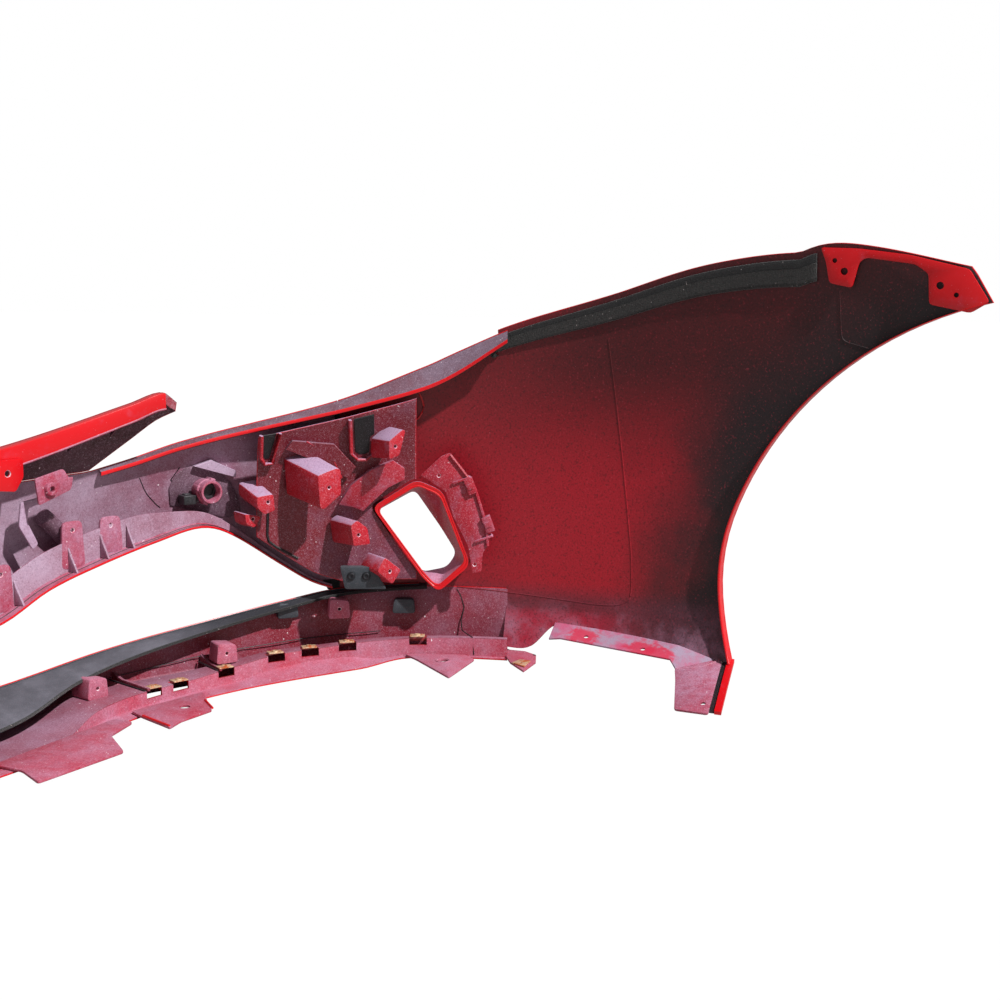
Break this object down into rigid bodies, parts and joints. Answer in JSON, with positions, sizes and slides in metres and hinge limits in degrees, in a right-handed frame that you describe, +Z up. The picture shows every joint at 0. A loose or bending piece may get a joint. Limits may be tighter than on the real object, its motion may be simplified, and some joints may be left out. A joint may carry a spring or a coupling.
{
  "type": "front bumper cover",
  "caption": "Front bumper cover of a low sports car: painted shell with grille opening, brake duct windows, headlamp cut-outs, inner brackets and fixing flanges.",
  "frame": {"origin": "on the floor, at the middle of the cover's box", "axes": "+X across the car along the longest side, towards the car's left, -Y out of the nose, +Z up"},
  "size_m": [1.9094, 1.0605, 0.5738],
  "materials": {
    "painted_cover": "gloss red body paint outside, dull crimson overspray inside",
    "bright_edge": "gloss red paint on the folded edges",
    "dusty_cover": "crimson overspray under a film of pale dust",
    "black_trim": "grained black plastic, dusty on top",
    "bracket_grey": "dark grey-green moulded plastic",
    "sensor_black": "black moulded plastic",
    "screw_steel": "black coated steel",
    "edge_felt": "black felt tape",
    "plated_nut": "yellow zinc plate with rust"
  },
  "bodies": {
    "root": {"nose_skin": "painted_cover", "beak_skin": "painted_cover", "bonnet_edge_rail": "bright_edge", "lower_valance": "dusty_cover", "beam_lower_flange": "dusty_cover", "grille_blade": "black_trim", "beam_gussets": "dusty_cover", "corner_skin_left": "painted_cover", "corner_skin_right": "painted_cover", "wing_skin_left": "painted_cover", "wing_skin_right": "painted_cover", "arch_lip_left": "bright_edge", "arch_lip_right": "bright_edge", "sill_flange_left": "dusty_cover", "sill_flange_right": "dusty_cover", "arch_closing_tab_left": "dusty_cover", "arch_closing_tab_right": "dusty_cover", "fender_flange_left": "bright_edge", "fender_flange_right": "bright_edge", "lamp_shelf_left": "bright_edge", "lamp_shelf_right": "bright_edge", "lamp_support_left": "dusty_cover", "lamp_support_right": "dusty_cover", "lamp_bosses_left": "dusty_cover", "lamp_bosses_right": "dusty_cover", "duct_frame_left": "dusty_cover", "duct_frame_right": "dusty_cover", "clip_bracket_left": "dusty_cover", "clip_bracket_right": "dusty_cover", "bracket_clips_left": "dusty_cover", "bracket_clips_right": "dusty_cover", "sensor_holder_left": "dusty_cover", "sensor_holder_right": "dusty_cover", "parking_sensor_left": "sensor_black", "parking_sensor_right": "sensor_black", "sensor_plug_left": "sensor_black", "sensor_plug_right": "sensor_black", "blade_end_bracket_left": "bracket_grey", "blade_end_bracket_right": "bracket_grey", "blade_screws_left": "screw_steel", "blade_screws_right": "screw_steel", "edge_felt_left": "edge_felt", "edge_felt_right": "edge_felt", "valance_bosses_left": "dusty_cover", "valance_bosses_right": "dusty_cover", "spring_nuts_left": "plated_nut", "spring_nuts_right": "plated_nut", "undertray_flap_left": "dusty_cover", "undertray_flap_right": "dusty_cover", "undertray_tab_left": "dusty_cover", "undertray_tab_right": "dusty_cover", "jacking_tab_left": "dusty_cover", "jacking_tab_right": "dusty_cover", "bonnet_tab_left": "bright_edge", "bonnet_tab_right": "bright_edge", "hook_strap_left": "dusty_cover", "hook_strap_right": "dusty_cover", "latch_bracket_left": "dusty_cover", "latch_bracket_right": "dusty_cover"}
  },
  "joints": []
}
